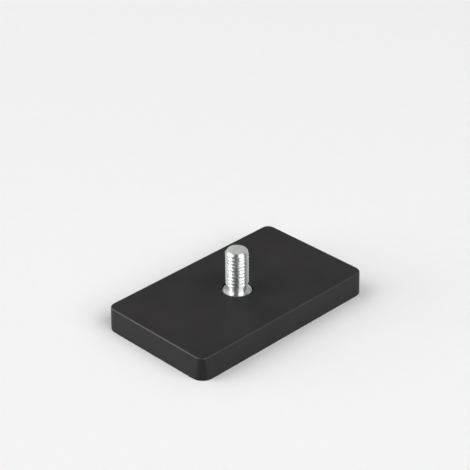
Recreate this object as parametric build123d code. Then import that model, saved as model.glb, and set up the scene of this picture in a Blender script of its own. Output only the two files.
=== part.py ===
from build123d import *
import math
import os

# A rectangular pot magnet in a moulded rubber jacket, with a threaded stud in its middle.
# Millimetres. The origin is the middle of the magnet face, which is the underside of the jacket.
# +X runs along the jacket, +Y across it and +Z up the stud.

# ---- Rubber jacket: length and width are those of the magnet face ------------------------------
JACKET_LENGTH = 75.0
JACKET_WIDTH = 45.0
JACKET_DRAFT = 4.0            # degrees: the sides lean in towards the top, to leave the mould
FACE_CORNER_RADIUS = 4.3
TOP_CORNER_RADIUS = 2.7       # the corners tighten towards the top
TOP_EDGE_FILLET = 0.5
FACE_SKIN = 0.8               # rubber between the magnets and what they hold on to
TOP_COVER = 1.4               # rubber over the yoke plate
SIDE_WALL = 1.2               # rubber beside the yoke plate, at the level of the plate's top

# ---- Yoke plate ------------------------------------------------------------------------------
PLATE_THICKNESS = 3.0
PLATE_CORNER_RADIUS = 3.0
PLATE_EDGE_CHAMFER = 0.3      # round the punched plate's top edge

# ---- Block magnets, laid out as a grid under the plate ---------------------------------------
MAGNET_COLUMNS = 4
MAGNET_ROWS = 2
MAGNET_THICKNESS = 3.0
MAGNET_CORNER_RADIUS = 0.6
MAGNET_WEB = 1.0              # rubber between two neighbouring magnets
MAGNET_MARGIN = 0.9           # the outer magnets stop this far inside the plate's edge

# ---- Threaded stud: its crests are a plain cylinder of the thread's own diameter --------------
THREAD_DIAMETER = 8.0
THREAD_PITCH = 1.25
THREAD_FLANK_ANGLE = 30.0     # degrees, from square to the stud
STUD_PROJECTION = 14.5        # from the jacket's top to the stud's end
END_CHAMFER = 0.9
NECK_LENGTH = 2.5             # from the collar to the first full crest
NECK_ROOT_FILLET = 0.3
COLLAR_LEDGE = 0.8            # how far the collar stands out beyond the crests
COLLAR_THICKNESS = 0.9
COLLAR_EDGE_CHAMFER = 0.15

# ---- Rivet end of the stud, flared into the plate ----------------------------------------------
SHANK_DIAMETER = 6.0
FLARE_WIDTH = 1.1             # how far the 45 degree flare stands out beyond the shank
SHANK_CLEARANCE = 0.05        # between shank and plate, all round
COLLAR_CLEARANCE = 0.35       # between collar and rubber, all round
HOLE_RIM_FILLET = 0.2         # round the mouth of the jacket's hole

# ---- Levels and sizes that follow ----------------------------------------------------------------
PLATE_BOTTOM = FACE_SKIN + MAGNET_THICKNESS
PLATE_TOP = PLATE_BOTTOM + PLATE_THICKNESS
JACKET_TOP = PLATE_TOP + TOP_COVER
COLLAR_TOP = PLATE_TOP + COLLAR_THICKNESS
STUD_TOP = JACKET_TOP + STUD_PROJECTION

# The plate keeps its side wall where the drafted jacket is narrowest beside it: at its top.
DRAFT_SLOPE = math.tan(math.radians(JACKET_DRAFT))
PLATE_INSET = PLATE_TOP * DRAFT_SLOPE + SIDE_WALL
PLATE_LENGTH = JACKET_LENGTH - 2 * PLATE_INSET
PLATE_WIDTH = JACKET_WIDTH - 2 * PLATE_INSET

# The neck is a thread relief, cut this many pitches deep below the crests.
RELIEF_DEPTH_IN_PITCHES = 0.72
THREAD_RADIUS = THREAD_DIAMETER / 2
NECK_RADIUS = THREAD_RADIUS - RELIEF_DEPTH_IN_PITCHES * THREAD_PITCH
COLLAR_RADIUS = THREAD_RADIUS + COLLAR_LEDGE
SHANK_RADIUS = SHANK_DIAMETER / 2


def rounded_block(length, width, thickness, corner_radius, bottom):
    """A flat block with rounded vertical corners, centred on the Z axis."""
    outline = Plane.XY.offset(bottom) * RectangleRounded(length, width, corner_radius)
    return extrude(outline, thickness)


def make_plate_blank():
    """The punched yoke plate before its hole is made."""
    blank = rounded_block(
        PLATE_LENGTH, PLATE_WIDTH, PLATE_THICKNESS, PLATE_CORNER_RADIUS, PLATE_BOTTOM
    )
    top_edges = blank.faces().sort_by(Axis.Z)[-1].edges()
    return chamfer(top_edges, PLATE_EDGE_CHAMFER)


def make_magnets():
    """The block magnets, row by row. They fill the plate's underside up to its margin."""
    grid_length = PLATE_LENGTH - 2 * MAGNET_MARGIN
    grid_width = PLATE_WIDTH - 2 * MAGNET_MARGIN
    column_pitch = (grid_length + MAGNET_WEB) / MAGNET_COLUMNS
    row_pitch = (grid_width + MAGNET_WEB) / MAGNET_ROWS
    block = rounded_block(
        column_pitch - MAGNET_WEB,
        row_pitch - MAGNET_WEB,
        MAGNET_THICKNESS,
        MAGNET_CORNER_RADIUS,
        FACE_SKIN,
    )
    magnets = []
    for row in range(MAGNET_ROWS):
        for column in range(MAGNET_COLUMNS):
            x = (column - (MAGNET_COLUMNS - 1) / 2) * column_pitch
            y = (row - (MAGNET_ROWS - 1) / 2) * row_pitch
            magnets.append(Pos(x, y, 0) * block)
    return magnets


def make_yoke_plate(blank):
    """The plate with its hole, countersunk on the magnets' side for the stud's flare."""
    hole_radius = SHANK_RADIUS + SHANK_CLEARANCE
    profile = Polyline(
        (0, PLATE_BOTTOM),
        (hole_radius + FLARE_WIDTH, PLATE_BOTTOM),
        (hole_radius, PLATE_BOTTOM + FLARE_WIDTH),
        (hole_radius, PLATE_TOP),
        (0, PLATE_TOP),
        close=True,
    )
    cutter = revolve(Plane.XZ * make_face(profile), Axis.Z)
    return blank - cutter


def make_stud():
    """One turned piece: flared shank, collar, plain neck, threaded length and chamfered end."""
    crest_bottom = COLLAR_TOP + NECK_LENGTH
    run_out = (THREAD_RADIUS - NECK_RADIUS) * math.tan(math.radians(THREAD_FLANK_ANGLE))
    profile = Polyline(
        (0, PLATE_BOTTOM),
        (SHANK_RADIUS + FLARE_WIDTH, PLATE_BOTTOM),
        (SHANK_RADIUS, PLATE_BOTTOM + FLARE_WIDTH),
        (SHANK_RADIUS, PLATE_TOP),
        (COLLAR_RADIUS, PLATE_TOP),
        (COLLAR_RADIUS, COLLAR_TOP - COLLAR_EDGE_CHAMFER),
        (COLLAR_RADIUS - COLLAR_EDGE_CHAMFER, COLLAR_TOP),
        (NECK_RADIUS, COLLAR_TOP),
        (NECK_RADIUS, crest_bottom - run_out),
        (THREAD_RADIUS, crest_bottom),
        (THREAD_RADIUS, STUD_TOP - END_CHAMFER),
        (THREAD_RADIUS - END_CHAMFER, STUD_TOP),
        (0, STUD_TOP),
        close=True,
    )
    stud = revolve(Plane.XZ * make_face(profile), Axis.Z)
    collar_circles = stud.edges().filter_by(GeomType.CIRCLE).filter_by_position(
        Axis.Z, COLLAR_TOP, COLLAR_TOP
    )
    return fillet(collar_circles.sort_by(SortBy.RADIUS)[0], NECK_ROOT_FILLET)


def make_jacket(plate_blank, magnets):
    """The moulded jacket: a drafted block, less all that it is moulded round."""
    narrowing = 2 * JACKET_TOP * DRAFT_SLOPE
    face_outline = RectangleRounded(JACKET_LENGTH, JACKET_WIDTH, FACE_CORNER_RADIUS)
    top_outline = Plane.XY.offset(JACKET_TOP) * RectangleRounded(
        JACKET_LENGTH - narrowing, JACKET_WIDTH - narrowing, TOP_CORNER_RADIUS
    )
    block = loft([face_outline, top_outline], ruled=True)
    block = fillet(block.faces().sort_by(Axis.Z)[-1].edges(), TOP_EDGE_FILLET)
    hole_radius = COLLAR_RADIUS + COLLAR_CLEARANCE
    hole = Pos(0, 0, PLATE_TOP) * Cylinder(
        hole_radius, TOP_COVER, align=(Align.CENTER, Align.CENTER, Align.MIN)
    )
    block = block - hole
    mouth = block.faces().sort_by(Axis.Z)[-1].inner_wires()[0].edges()
    block = fillet(mouth, HOLE_RIM_FILLET)
    jacket = block - plate_blank
    for magnet in magnets:
        jacket = jacket - magnet
    return jacket


os.makedirs("parts", exist_ok=True)

plate_blank = make_plate_blank()
magnets = make_magnets()

nodes = {
    "rubber_jacket": make_jacket(plate_blank, magnets),
    "yoke_plate": make_yoke_plate(plate_blank),
    "threaded_stud": make_stud(),
}
for number, magnet in enumerate(magnets, start=1):
    nodes[f"magnet_{number}"] = magnet

for name, shape in nodes.items():
    export_step(shape, f"parts/{name}.step")
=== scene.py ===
import math

import bmesh
import bpy
import numpy as np
from mathutils import Matrix, Vector


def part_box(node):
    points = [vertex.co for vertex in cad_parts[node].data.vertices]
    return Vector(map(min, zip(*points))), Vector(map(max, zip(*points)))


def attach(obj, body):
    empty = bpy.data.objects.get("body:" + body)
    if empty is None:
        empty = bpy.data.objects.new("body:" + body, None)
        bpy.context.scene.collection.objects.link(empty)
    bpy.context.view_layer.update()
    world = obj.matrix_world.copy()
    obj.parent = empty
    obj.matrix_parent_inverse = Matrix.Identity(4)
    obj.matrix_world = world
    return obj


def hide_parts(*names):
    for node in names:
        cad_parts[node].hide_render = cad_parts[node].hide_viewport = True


# The looks of a rubber-coated pot magnet with a threaded stud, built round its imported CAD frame.
# Metres. The frame's origin is the middle of the magnet face, +X along the jacket, +Z up.

MM = 0.001

# ---- Thread --------------------------------------------------------------------------------------
PITCH = 1.25 * MM
CREST_RADIUS = 3.84 * MM        # set for the likeness: the CAD model's plain cylinder has 4.0
ROOT_RADIUS = 3.2 * MM
CREST_FLAT = PITCH / 8
FLANK_SLOPE = 1 / math.tan(math.radians(30))    # fall of a flank's radius along the stud
THREAD_PHASE = 0.16             # turns from +X to where a crest starts level with the collar

# ---- The rest of the stud, with the CAD model's own sizes ----------------------------------------
END_RADIUS = 3.1 * MM
END_CHAMFER = 0.9 * MM
NECK_RADIUS = 3.1 * MM
NECK_LENGTH = 2.5 * MM          # from the collar to the first full crest
NECK_ROOT_FILLET = 0.3 * MM
COLLAR_THICKNESS = 0.9 * MM
COLLAR_EDGE = 0.15 * MM         # rounded here, where the CAD model has a chamfer
SHANK_RADIUS = 3.0 * MM
FLARE_WIDTH = 1.1 * MM

# ---- How far the thread's corners are rounded over -----------------------------------------------
CREST_ROUNDING = 0.12 * MM
ROOT_ROUNDING = 0.16 * MM
SHOULDER_ROUNDING = 0.15 * MM   # between the neck and the first crest
RUN_OUT_ROUNDING = 0.1 * MM     # where the thread runs out at the neck and the end chamfer
END_LIP_WIDTH = 0.05 * MM       # the narrow slope between the threaded surface and the end face
END_LIP_DROP = 0.02 * MM

# ---- How finely the stud is meshed ---------------------------------------------------------------
STUD_SEGMENTS = 192
ROWS_PER_PITCH = 24
THREADED_START = 0.2 * MM       # from the neck's root fillet up to the threaded surface
COLLAR_EDGE_STEPS = 4
NECK_ROOT_STEPS = 5
WELD_DISTANCE = 0.0002 * MM
SHARP_EDGE = math.radians(40)

# ---- Camera, at the photograph's viewing angle ---------------------------------------------------
CAMERA_AZIMUTH = -44.52         # degrees: 0 looks along +Y
CAMERA_ELEVATION = 30.31
CAMERA_ROLL = -0.51
CAMERA_DISTANCE = 550.6 * MM
CAMERA_AIM = (-0.78 * MM, 24.31 * MM)   # the picture's middle, right of and above the origin
CAMERA_CLIP = (0.01, 20.0)
PICTURE_WIDTH = 470             # pixels
FOCAL_LENGTH = 1677             # pixels
FIELD_OF_VIEW = 2 * math.atan(PICTURE_WIDTH / 2 / FOCAL_LENGTH)

# ---- Lamps ---------------------------------------------------------------------------------------
LAMP_DISTANCE = 3.0
NEUTRAL = (1.0, 1.0, 1.0)
WARM = (1.0, 0.975, 0.95)
COOL = (0.90, 1.0, 0.99)
# Name, degrees right of the camera, degrees up, width and height in degrees, radiance and colour.
LAMPS = [
    ("softbox_left", -82, 40, 37, 60, 2.9, NEUTRAL),
    ("softbox_right", 50, 41, 50, 44, 3.7, NEUTRAL),
    ("strip_low_left", -90, 8, 60, 10, 4.8, NEUTRAL),
    ("card_back", 180, 30, 60, 24, 0.22, NEUTRAL),
    ("card_back_left", -142, 35, 34, 34, 1.16, WARM),
    ("card_back_right", 135, 35, 40, 34, 0.70, COOL),
]

# ---- Floor and world -----------------------------------------------------------------------------
FLOOR_REACH = 1.2
FLOOR_STEPS = 96                # round the floor and its opening
FLOOR_LAP = 0.6 * MM            # how far the floor reaches in under the magnet face
FLOOR_GAP = 0.02 * MM           # keeps the floor and the magnet face apart
FACE_CORNER_RADIUS = 4.3 * MM
PALE = 0.86
STUDIO_DARK = 0.02
HORIZON = (6, 10)               # degrees up: where the pale world starts to fade and where it ends

# ---- Painted shade on the jacket's corners and in the thread's roots -----------------------------
CORNER_PAINTED_SHADE = (0.55, 0.55, 0.55)    # painted shade on the jacket's upright corners, beside the rest
ROOT_PAINTED_SHADE = (0.73, 0.74, 0.735)     # painted shade in the thread's roots, beside its crests
ROOT_PAINTED_SHADE_FADE = 0.5 * MM           # how far below the first full crest the roots' painted shade fades in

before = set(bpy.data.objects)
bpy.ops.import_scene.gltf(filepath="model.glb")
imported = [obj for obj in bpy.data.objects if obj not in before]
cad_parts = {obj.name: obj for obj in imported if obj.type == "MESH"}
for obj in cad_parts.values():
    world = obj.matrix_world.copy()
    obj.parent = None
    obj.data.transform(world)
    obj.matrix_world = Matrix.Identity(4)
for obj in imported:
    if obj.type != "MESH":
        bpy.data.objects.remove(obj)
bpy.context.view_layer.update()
stud_low, stud_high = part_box("threaded_stud")
face_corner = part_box("rubber_jacket")[1].xy     # from the middle of the magnet face

PLATE_BOTTOM = stud_low.z       # level with the stud's flared end
PLATE_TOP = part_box("yoke_plate")[1].z
COLLAR_TOP = PLATE_TOP + COLLAR_THICKNESS
COLLAR_RADIUS = stud_high.x     # the collar is the widest part of the stud
FIRST_CREST = COLLAR_TOP + NECK_LENGTH
STUD_TOP = stud_high.z
THREADED_LOW = COLLAR_TOP + NECK_ROOT_FILLET + THREADED_START
THREADED_HIGH = STUD_TOP - END_LIP_DROP


# ---- Helpers for shader nodes --------------------------------------------------------------------

def new_material(name):
    """A new material, its node tree and its shader, which is wired to the output."""
    material = bpy.data.materials.new(name)
    material.use_nodes = True
    tree = material.node_tree
    tree.nodes.clear()
    shader = tree.nodes.new("ShaderNodeBsdfPrincipled")
    output = tree.nodes.new("ShaderNodeOutputMaterial")
    tree.links.new(shader.outputs["BSDF"], output.inputs["Surface"])
    return material, tree, shader


def coordinate_parts(tree, kind):
    """X, Y and Z of a kind of texture coordinate, such as Object or Normal."""
    coordinates = tree.nodes.new("ShaderNodeTexCoord")
    parts = tree.nodes.new("ShaderNodeSeparateXYZ")
    tree.links.new(coordinates.outputs[kind], parts.inputs["Vector"])
    return parts.outputs["X"], parts.outputs["Y"], parts.outputs["Z"]


def noise(tree, scale, detail=2.0, stretch=(1, 1, 1)):
    """Noise on the object's own coordinates, in cycles a metre. Returns its Fac socket."""
    coordinates = tree.nodes.new("ShaderNodeTexCoord")
    mapping = tree.nodes.new("ShaderNodeMapping")
    mapping.inputs["Scale"].default_value = stretch
    texture = tree.nodes.new("ShaderNodeTexNoise")
    texture.inputs["Scale"].default_value = scale
    texture.inputs["Detail"].default_value = detail
    tree.links.new(coordinates.outputs["Object"], mapping.inputs["Vector"])
    tree.links.new(mapping.outputs["Vector"], texture.inputs["Vector"])
    return texture.outputs["Fac"]


def ramp(tree, fac, stops):
    """A colour ramp over fac. Each stop is (position, colour or grey)."""
    node = tree.nodes.new("ShaderNodeValToRGB")
    elements = node.color_ramp.elements
    while len(elements) < len(stops):
        elements.new(1.0)
    for element, (position, colour) in zip(elements, stops):
        element.position = position
        if isinstance(colour, float):
            colour = (colour, colour, colour)
        element.color = (*colour, 1.0)
    tree.links.new(fac, node.inputs["Fac"])
    return node.outputs["Color"]


def mottle(tree, pattern, first, second):
    """Two colours or greys that follow a noise pattern."""
    return ramp(tree, pattern, [(0.3, first), (0.7, second)])


def rescale(tree, value, new, old=(0.0, 1.0)):
    """A value stretched so that the two old numbers become the two new ones, and held there."""
    node = tree.nodes.new("ShaderNodeMapRange")
    node.inputs["From Min"].default_value, node.inputs["From Max"].default_value = old
    node.inputs["To Min"].default_value, node.inputs["To Max"].default_value = new
    tree.links.new(value, node.inputs["Value"])
    return node.outputs["Result"]


def bump(tree, height, depth, strength):
    """A bump from height, as deep as depth in metres."""
    node = tree.nodes.new("ShaderNodeBump")
    node.inputs["Distance"].default_value = depth
    node.inputs["Strength"].default_value = strength
    tree.links.new(height, node.inputs["Height"])
    return node.outputs["Normal"]


def math_node(tree, operation, a, b=0.0):
    """The result of a maths operation on a socket and another socket or a number."""
    node = tree.nodes.new("ShaderNodeMath")
    node.operation = operation
    tree.links.new(a, node.inputs[0])
    if isinstance(b, (int, float)):
        node.inputs[1].default_value = b
    else:
        tree.links.new(b, node.inputs[1])
    return node.outputs["Value"]


def tint(tree, fac, colour, multiplier):
    """A colour multiplied by a fixed one: not at all where fac is 0, and fully where it is 1."""
    node = tree.nodes.new("ShaderNodeMix")
    node.data_type = "RGBA"
    node.blend_type = "MULTIPLY"
    tree.links.new(fac, node.inputs["Factor"])
    tree.links.new(colour, node.inputs["A"])
    node.inputs["B"].default_value = (*multiplier, 1.0)
    return node.outputs["Result"]


# ---- Materials -----------------------------------------------------------------------------------

def make_rubber():
    """Satin black moulded rubber with fine matt grain, faint clouding and painted shade on its
    upright corners.
    """
    material, tree, shader = new_material("satin_black_rubber")
    clouds = noise(tree, scale=90, detail=4.0)
    black = mottle(tree, clouds, (0.0222, 0.0204, 0.0213), (0.0282, 0.0260, 0.0271))
    # The upright corners are darkened in colour: painted shade.
    along, across, upward = coordinate_parts(tree, "Normal")
    corner = math_node(tree, "ABSOLUTE", math_node(tree, "MULTIPLY", along, across))
    painted_corner_shade = ramp(tree, corner, [(0.30, 0.0), (0.45, 1.0)])
    tree.links.new(tint(tree, painted_corner_shade, black, CORNER_PAINTED_SHADE), shader.inputs["Base Color"])
    tree.links.new(rescale(tree, clouds, (0.50, 0.60)), shader.inputs["Roughness"])
    grain = noise(tree, scale=5200)
    tree.links.new(bump(tree, grain, depth=0.006 * MM, strength=0.6), shader.inputs["Normal"])
    shader.inputs["Specular IOR Level"].default_value = 0.2
    # The rounded edge of the top is smooth from the mould, and catches the light.
    edge = ramp(tree, upward, [(0.15, 0.0), (0.35, 0.6), (0.85, 0.6), (0.97, 0.0)])
    tree.links.new(edge, shader.inputs["Coat Weight"])
    shader.inputs["Coat Roughness"].default_value = 0.3
    return material


def groove_depth(tree):
    """0 on the thread's crests and 1 at its roots. 0 on the neck, the collar and the stud's end."""
    x, y, z = coordinate_parts(tree, "Object")
    level = tree.nodes.new("ShaderNodeCombineXYZ")
    tree.links.new(x, level.inputs["X"])
    tree.links.new(y, level.inputs["Y"])
    radius = tree.nodes.new("ShaderNodeVectorMath")
    radius.operation = "LENGTH"
    tree.links.new(level.outputs["Vector"], radius.inputs[0])
    depth = rescale(tree, radius.outputs["Value"], (0.0, 1.0), old=(CREST_RADIUS, ROOT_RADIUS))
    above_neck = rescale(tree, z, (0.0, 1.0), old=(FIRST_CREST - ROOT_PAINTED_SHADE_FADE, FIRST_CREST))
    below_end = rescale(tree, z, (1.0, 0.0), old=(STUD_TOP - END_CHAMFER, STUD_TOP))
    threaded = math_node(tree, "MULTIPLY", above_neck, below_end)
    return math_node(tree, "MULTIPLY", depth, threaded)


def make_zinc(name, light):
    """What both kinds of zinc plating share: bright metal, clouded with a slightly lighter one."""
    material, tree, shader = new_material(name)
    clouds = noise(tree, scale=700, detail=3.0)
    colour = mottle(tree, clouds, light, tuple(channel + 0.05 for channel in light))
    shader.inputs["Metallic"].default_value = 1.0
    return material, tree, shader, clouds, colour


def make_rolled_zinc():
    """Zinc plating where the steel was rolled or turned: fine lines run round the stud, and the
    thread's roots are painted darker as shade.
    """
    material, tree, shader, clouds, colour = make_zinc("rolled_zinc", (0.85, 0.87, 0.86))
    # The thread's roots are darkened in colour: painted shade in the grooves.
    painted_root_shade = tint(tree, groove_depth(tree), colour, ROOT_PAINTED_SHADE)
    tree.links.new(painted_root_shade, shader.inputs["Base Color"])
    tree.links.new(rescale(tree, clouds, (0.36, 0.40)), shader.inputs["Roughness"])
    shader.inputs["Anisotropic"].default_value = 1.0
    shader.inputs["Anisotropic Rotation"].default_value = 0.25
    tangent = tree.nodes.new("ShaderNodeTangent")
    tangent.direction_type = "RADIAL"
    tangent.axis = "Z"
    tree.links.new(tangent.outputs["Tangent"], shader.inputs["Tangent"])
    return material


def make_cut_zinc():
    """Zinc plating on the stud's cut end, which is matt."""
    material, tree, shader, clouds, colour = make_zinc("cut_zinc", (0.80, 0.815, 0.78))
    tree.links.new(colour, shader.inputs["Base Color"])
    tree.links.new(rescale(tree, clouds, (0.56, 0.64)), shader.inputs["Roughness"])
    grain = noise(tree, scale=4000)
    tree.links.new(bump(tree, grain, depth=0.002 * MM, strength=0.5), shader.inputs["Normal"])
    return material


def make_plate_steel():
    """Bare rolled steel plate."""
    material, tree, shader = new_material("bare_steel")
    streaks = noise(tree, scale=300, detail=4.0, stretch=(0.1, 1, 1))
    tree.links.new(mottle(tree, streaks, 0.34, 0.46), shader.inputs["Base Color"])
    tree.links.new(rescale(tree, streaks, (0.35, 0.5)), shader.inputs["Roughness"])
    shader.inputs["Metallic"].default_value = 1.0
    return material


def make_nickel():
    """Nickel plating on sintered magnets."""
    material, tree, shader = new_material("nickel_plating")
    clouds = noise(tree, scale=400, detail=3.0)
    colour = mottle(tree, clouds, (0.58, 0.55, 0.50), (0.66, 0.63, 0.58))
    tree.links.new(colour, shader.inputs["Base Color"])
    tree.links.new(rescale(tree, clouds, (0.22, 0.34)), shader.inputs["Roughness"])
    shader.inputs["Metallic"].default_value = 1.0
    return material


def make_floor_paper():
    """Pale seamless paper."""
    material, tree, shader = new_material("pale_paper")
    fibres = noise(tree, scale=250, detail=5.0)
    colour = mottle(tree, fibres, (0.890, 0.886, 0.891), (0.900, 0.896, 0.901))
    tree.links.new(colour, shader.inputs["Base Color"])
    shader.inputs["Roughness"].default_value = 0.9
    shader.inputs["Specular IOR Level"].default_value = 0.0
    return material


def dress(node, material):
    """Gives a CAD node its material."""
    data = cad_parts[node].data
    data.materials.clear()
    data.materials.append(material)


# ---- Helpers for objects -------------------------------------------------------------------------

def add_object(name, data):
    """A new object in the scene with this mesh, camera or lamp."""
    item = bpy.data.objects.new(name, data)
    bpy.context.scene.collection.objects.link(item)
    return item


def add_mesh(name, mesh, *materials):
    """A new object in the scene, made of a finished bmesh."""
    data = bpy.data.meshes.new(name)
    mesh.to_mesh(data)
    mesh.free()
    for material in materials:
        data.materials.append(material)
    return add_object(name, data)


# ---- The stud ------------------------------------------------------------------------------------

def smooth_min(a, b, width):
    """The lesser of a and b, with the corner between them rounded over about that width."""
    blend = np.clip(0.5 + 0.5 * (b - a) / width, 0, 1)
    return b + (a - b) * blend - width * blend * (1 - blend)


def thread_radius(turn_fraction, height):
    """Radius of an endless thread at a fraction of a turn and a height above the collar."""
    along = (height / PITCH - turn_fraction + THREAD_PHASE + 0.5) % 1.0 - 0.5
    flank = CREST_RADIUS - (np.abs(along) * PITCH - CREST_FLAT / 2) * FLANK_SLOPE
    ridge = smooth_min(flank, CREST_RADIUS, CREST_ROUNDING)
    return -smooth_min(-ridge, -ROOT_RADIUS, ROOT_ROUNDING)


def stud_surface_radius(turn_fraction, z):
    """Radius of the stud above its neck's root: neck, shoulder, helical thread and end chamfer."""
    shoulder = CREST_RADIUS - (FIRST_CREST - z) * FLANK_SLOPE
    shoulder = -smooth_min(-shoulder, -NECK_RADIUS, SHOULDER_ROUNDING)
    chamfer = END_RADIUS + STUD_TOP - z
    blank = np.minimum(shoulder, chamfer)
    return smooth_min(thread_radius(turn_fraction, z - COLLAR_TOP), blank, RUN_OUT_ROUNDING)


def add_ring(mesh, radius, z):
    """A level ring of vertices round the stud's axis."""
    vertices = []
    for i in range(STUD_SEGMENTS):
        angle = 2 * math.pi * i / STUD_SEGMENTS
        vertices.append(mesh.verts.new((radius * math.cos(angle), radius * math.sin(angle), z)))
    return vertices


def add_turned_surface(mesh, profile):
    """Faces between rings of these radii and heights, from the bottom up. Returns the rings."""
    rings = [add_ring(mesh, radius, z) for radius, z in profile]
    for lower, upper in zip(rings, rings[1:]):
        for i in range(STUD_SEGMENTS):
            j = (i + 1) % STUD_SEGMENTS
            mesh.faces.new((lower[i], lower[j], upper[j], upper[i]))
    return rings


def profile_below_thread():
    """Radii and heights of the flare, the shank, the collar and the neck's root."""
    profile = [
        (SHANK_RADIUS + FLARE_WIDTH, PLATE_BOTTOM),
        (SHANK_RADIUS, PLATE_BOTTOM + FLARE_WIDTH),
        (SHANK_RADIUS, PLATE_TOP),
        (COLLAR_RADIUS, PLATE_TOP),
        (COLLAR_RADIUS, COLLAR_TOP - COLLAR_EDGE),
    ]
    for step in range(1, COLLAR_EDGE_STEPS + 1):
        angle = math.radians(90) * step / COLLAR_EDGE_STEPS
        profile.append((
            COLLAR_RADIUS - COLLAR_EDGE * (1 - math.cos(angle)),
            COLLAR_TOP - COLLAR_EDGE * (1 - math.sin(angle)),
        ))
    for step in range(NECK_ROOT_STEPS + 1):
        angle = math.radians(90) * step / NECK_ROOT_STEPS
        profile.append((
            NECK_RADIUS + NECK_ROOT_FILLET * (1 - math.sin(angle)),
            COLLAR_TOP + NECK_ROOT_FILLET * (1 - math.cos(angle)),
        ))
    profile.append((NECK_RADIUS, THREADED_LOW))
    return profile


def profile_of_end():
    """Radii and heights from the top of the threaded surface in over the end face."""
    return [
        (float(stud_surface_radius(0.0, THREADED_HIGH)), THREADED_HIGH),
        (END_RADIUS - END_LIP_WIDTH, STUD_TOP),
        (END_RADIUS / 2, STUD_TOP),
    ]


def add_threaded_surface(mesh):
    """The surface from the neck up over the end chamfer, in rows that climb with the thread."""
    row_step = PITCH / ROWS_PER_PITCH
    rows = math.ceil((THREADED_HIGH - THREADED_LOW + PITCH) / row_step) + 1
    columns = []
    for i in range(STUD_SEGMENTS):
        fraction = i / STUD_SEGMENTS
        heights = THREADED_LOW - PITCH + PITCH * fraction + row_step * np.arange(rows + 1)
        heights = np.clip(heights, THREADED_LOW, THREADED_HIGH)
        radii = stud_surface_radius(fraction, heights)
        angle = 2 * math.pi * fraction
        column = []
        for z, radius in zip(heights, radii):
            place = (radius * math.cos(angle), radius * math.sin(angle), z)
            column.append(mesh.verts.new(place))
        columns.append(column)
    for left, right in zip(columns, columns[1:]):
        for row in range(rows):
            mesh.faces.new((left[row], right[row], right[row + 1], left[row + 1]))
    # A full turn climbs one pitch, so the last column meets the first one a pitch further up.
    left, right = columns[-1], columns[0]
    for row in range(rows - ROWS_PER_PITCH):
        upper = row + ROWS_PER_PITCH
        mesh.faces.new((left[row], right[upper], right[upper + 1], left[row + 1]))


def make_stud(rolled_zinc, cut_zinc):
    """The stud as one closed mesh: flared shank, collar, neck, helical thread and cut end."""
    mesh = bmesh.new()
    bottom = add_turned_surface(mesh, profile_below_thread())[0]
    mesh.faces.new(list(reversed(bottom)))
    add_threaded_surface(mesh)
    middle = add_turned_surface(mesh, profile_of_end())[-1]
    mesh.faces.new(middle)
    for face in mesh.faces:
        # The end face is cut, and the lip round it isn't.
        face.material_index = int(face.calc_center_median().z > STUD_TOP - END_LIP_DROP / 4)
    bmesh.ops.remove_doubles(mesh, verts=mesh.verts, dist=WELD_DISTANCE)
    for face in mesh.faces:
        face.smooth = True
    for edge in mesh.edges:
        if len(edge.link_faces) == 2 and edge.calc_face_angle(0) > SHARP_EDGE:
            edge.smooth = False
    stud = add_mesh("stud_with_thread", mesh, rolled_zinc, cut_zinc)
    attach(stud, "root")
    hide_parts("threaded_stud")


# ---- Stage ---------------------------------------------------------------------------------------

def direction(azimuth, elevation):
    """The direction from the object to what stands at these degrees round and up."""
    azimuth, elevation = math.radians(azimuth), math.radians(elevation)
    return Vector((
        math.sin(azimuth) * math.cos(elevation),
        -math.cos(azimuth) * math.cos(elevation),
        math.sin(elevation),
    ))


def camera_axes():
    """The camera's right, up and back directions."""
    back = direction(CAMERA_AZIMUTH, CAMERA_ELEVATION)
    right = direction(CAMERA_AZIMUTH + 90, 0)
    up = back.cross(right)
    roll = math.radians(CAMERA_ROLL)
    rolled_right = math.cos(roll) * right + math.sin(roll) * up
    rolled_up = -math.sin(roll) * right + math.cos(roll) * up
    return rolled_right, rolled_up, back


def make_camera():
    """A camera that sees the object as the photograph does."""
    right, up, back = camera_axes()
    data = bpy.data.cameras.new("camera")
    data.angle = FIELD_OF_VIEW
    data.clip_start, data.clip_end = CAMERA_CLIP
    camera = add_object("camera", data)
    place = right * CAMERA_AIM[0] + up * CAMERA_AIM[1] + back * CAMERA_DISTANCE
    rotation = Matrix((right, up, back)).transposed().to_4x4()
    camera.matrix_world = Matrix.Translation(place) @ rotation
    bpy.context.scene.camera = camera


def make_lamp(name, turn, elevation, width, height, radiance, colour):
    """A rectangular area light that faces the object."""
    data = bpy.data.lights.new(name, "AREA")
    data.shape = "RECTANGLE"
    data.size = 2 * LAMP_DISTANCE * math.tan(math.radians(width / 2))
    data.size_y = 2 * LAMP_DISTANCE * math.tan(math.radians(height / 2))
    data.energy = math.pi * data.size * data.size_y * radiance
    data.color = colour
    light = add_object(name, data)
    outward = direction(CAMERA_AZIMUTH + turn, elevation)
    light.location = outward * LAMP_DISTANCE
    light.rotation_mode = "QUATERNION"
    light.rotation_quaternion = outward.to_track_quat("Z", "Y")


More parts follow.
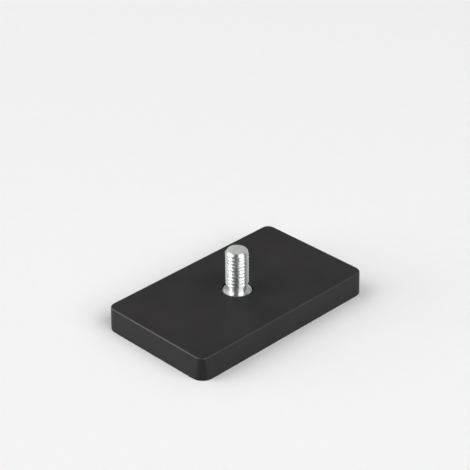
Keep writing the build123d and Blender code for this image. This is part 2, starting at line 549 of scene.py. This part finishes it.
def make_floor():
    """A round floor, with an opening under the magnet face, through which the face can be seen."""
    corner = face_corner - Vector((FACE_CORNER_RADIUS, FACE_CORNER_RADIUS))
    mesh = bmesh.new()
    inside, outside = [], []
    for step in range(FLOOR_STEPS):
        angle = 2 * math.pi * (step + 0.5) / FLOOR_STEPS
        away = Vector((math.cos(angle), math.sin(angle)))
        inner = Vector((math.copysign(corner.x, away.x), math.copysign(corner.y, away.y)))
        inner += away * (FACE_CORNER_RADIUS - FLOOR_LAP)
        inside.append(mesh.verts.new((*inner, -FLOOR_GAP)))
        outside.append(mesh.verts.new((*(away * FLOOR_REACH), -FLOOR_GAP)))
    for i in range(FLOOR_STEPS):
        j = (i + 1) % FLOOR_STEPS
        mesh.faces.new((inside[i], outside[i], outside[j], inside[j]))
    floor = add_mesh("floor", mesh, make_floor_paper())


def make_world():
    """A dim studio, pale below the horizon and, where it is only seen or reflected, just above."""
    world = bpy.data.worlds.new("studio")
    world.use_nodes = True
    tree = world.node_tree
    height = coordinate_parts(tree, "Generated")[2]
    path = tree.nodes.new("ShaderNodeLightPath")
    seen = path.outputs["Is Camera Ray"]
    for kind in ("Is Glossy Ray", "Is Transmission Ray"):
        seen = math_node(tree, "MAXIMUM", seen, path.outputs[kind])
    fade_start, fade_end = (math.sin(math.radians(elevation)) for elevation in HORIZON)
    # For light on the object the fade comes lower, and ends at the horizon.
    level = math_node(tree, "ADD", height, math_node(tree, "MULTIPLY", seen, -fade_end))
    rise = rescale(tree, level, (0.0, 1.0), old=(fade_start - fade_end, 0.0))
    colour = ramp(tree, rise, [(0.0, PALE), (1.0, STUDIO_DARK)])
    tree.links.new(colour, tree.nodes["Background"].inputs["Color"])
    bpy.context.scene.world = world


# ---- The scene -----------------------------------------------------------------------------------

bpy.context.scene.view_settings.view_transform = "Standard"

dress("rubber_jacket", make_rubber())
dress("yoke_plate", make_plate_steel())
nickel = make_nickel()
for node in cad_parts:
    if node.startswith("magnet_"):
        dress(node, nickel)
rolled_zinc = make_rolled_zinc()
dress("threaded_stud", rolled_zinc)
make_stud(rolled_zinc, make_cut_zinc())
make_floor()
make_world()
for lamp in LAMPS:
    make_lamp(*lamp)
make_camera()
